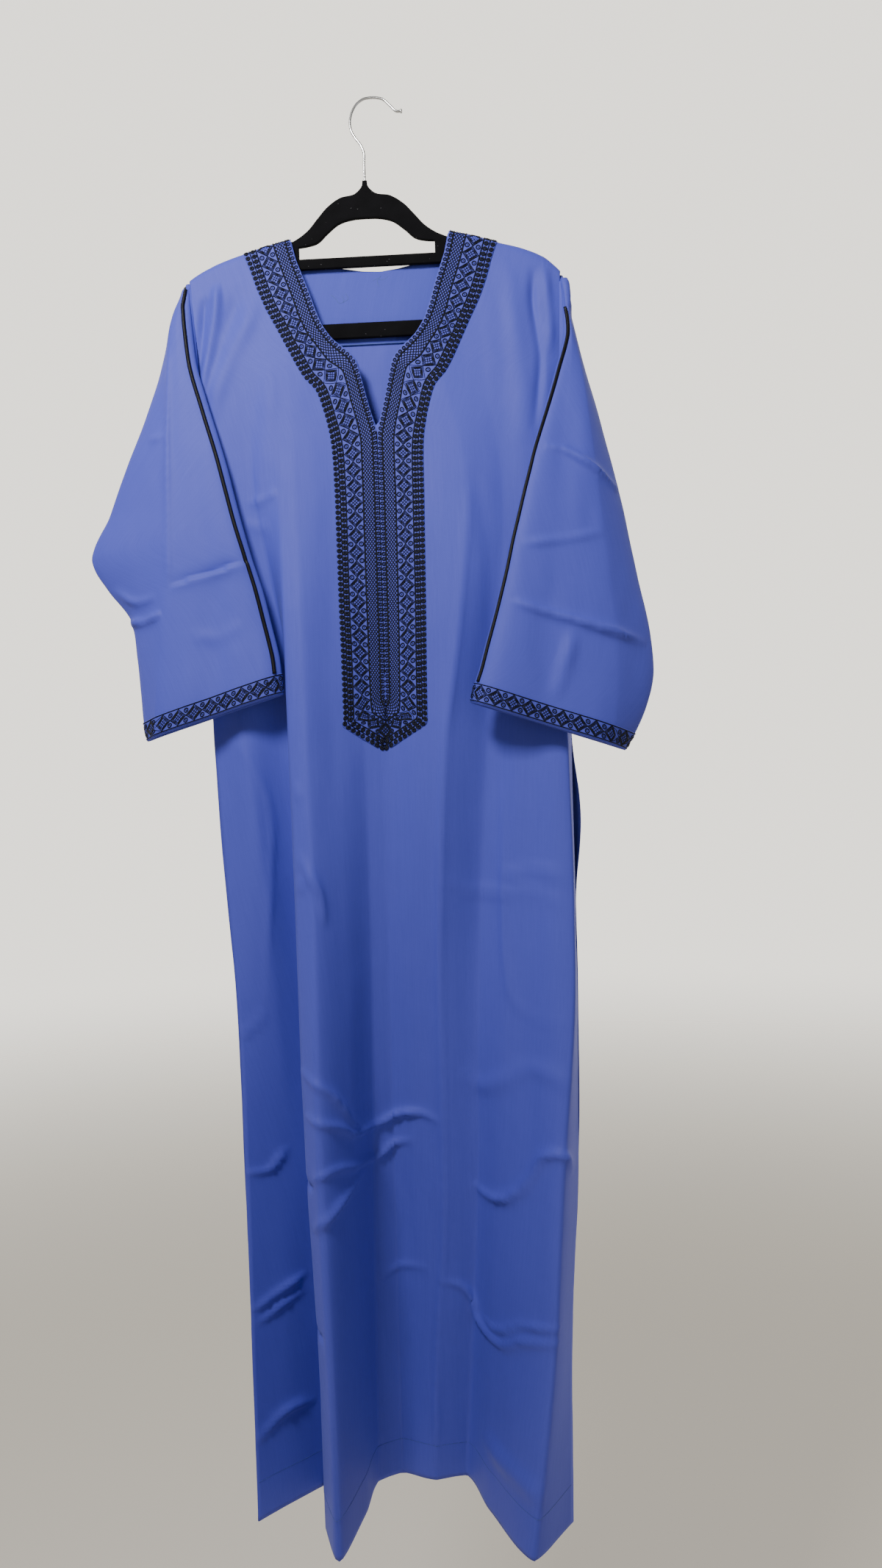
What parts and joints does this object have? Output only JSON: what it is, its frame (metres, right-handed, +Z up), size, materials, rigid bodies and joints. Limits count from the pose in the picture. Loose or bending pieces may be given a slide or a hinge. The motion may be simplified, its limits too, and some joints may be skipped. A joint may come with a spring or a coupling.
{
  "type": "thobe on a clothes hanger",
  "caption": "Ankle-length thobe with an embroidered slit neck, wide sleeves with cords and embroidered cuffs, hanging in folds on a flocked clothes hanger.",
  "frame": {"origin": "underside of the hook's crest, where the hook rests on a peg or screw", "axes": "+Z up, -Y towards the front of the thobe, +X towards the wearer's left"},
  "size_m": [0.6159, 0.1743, 1.5529],
  "materials": {
    "cloth": "plain weave in cornflower blue with a soft satin sheen",
    "embroidery": "dark navy embroidery thread on the blue cloth",
    "cord": "black braided cord",
    "flock": "matt black flocking on a moulded body",
    "hook": "bright plated wire"
  },
  "bodies": {
    "root": {"front_panel": "cloth", "back_panel": "cloth", "back_neck_facing": "cloth", "upper_sleeve_right": "cloth", "lower_sleeve_right": "cloth", "upper_sleeve_left": "cloth", "lower_sleeve_left": "cloth", "neck_band": "embroidery", "cuff_band_right": "embroidery", "cuff_band_left": "embroidery", "cord_right": "cord", "cord_left": "cord", "hanger_body": "flock", "hanger_hook": "hook"}
  },
  "joints": []
}
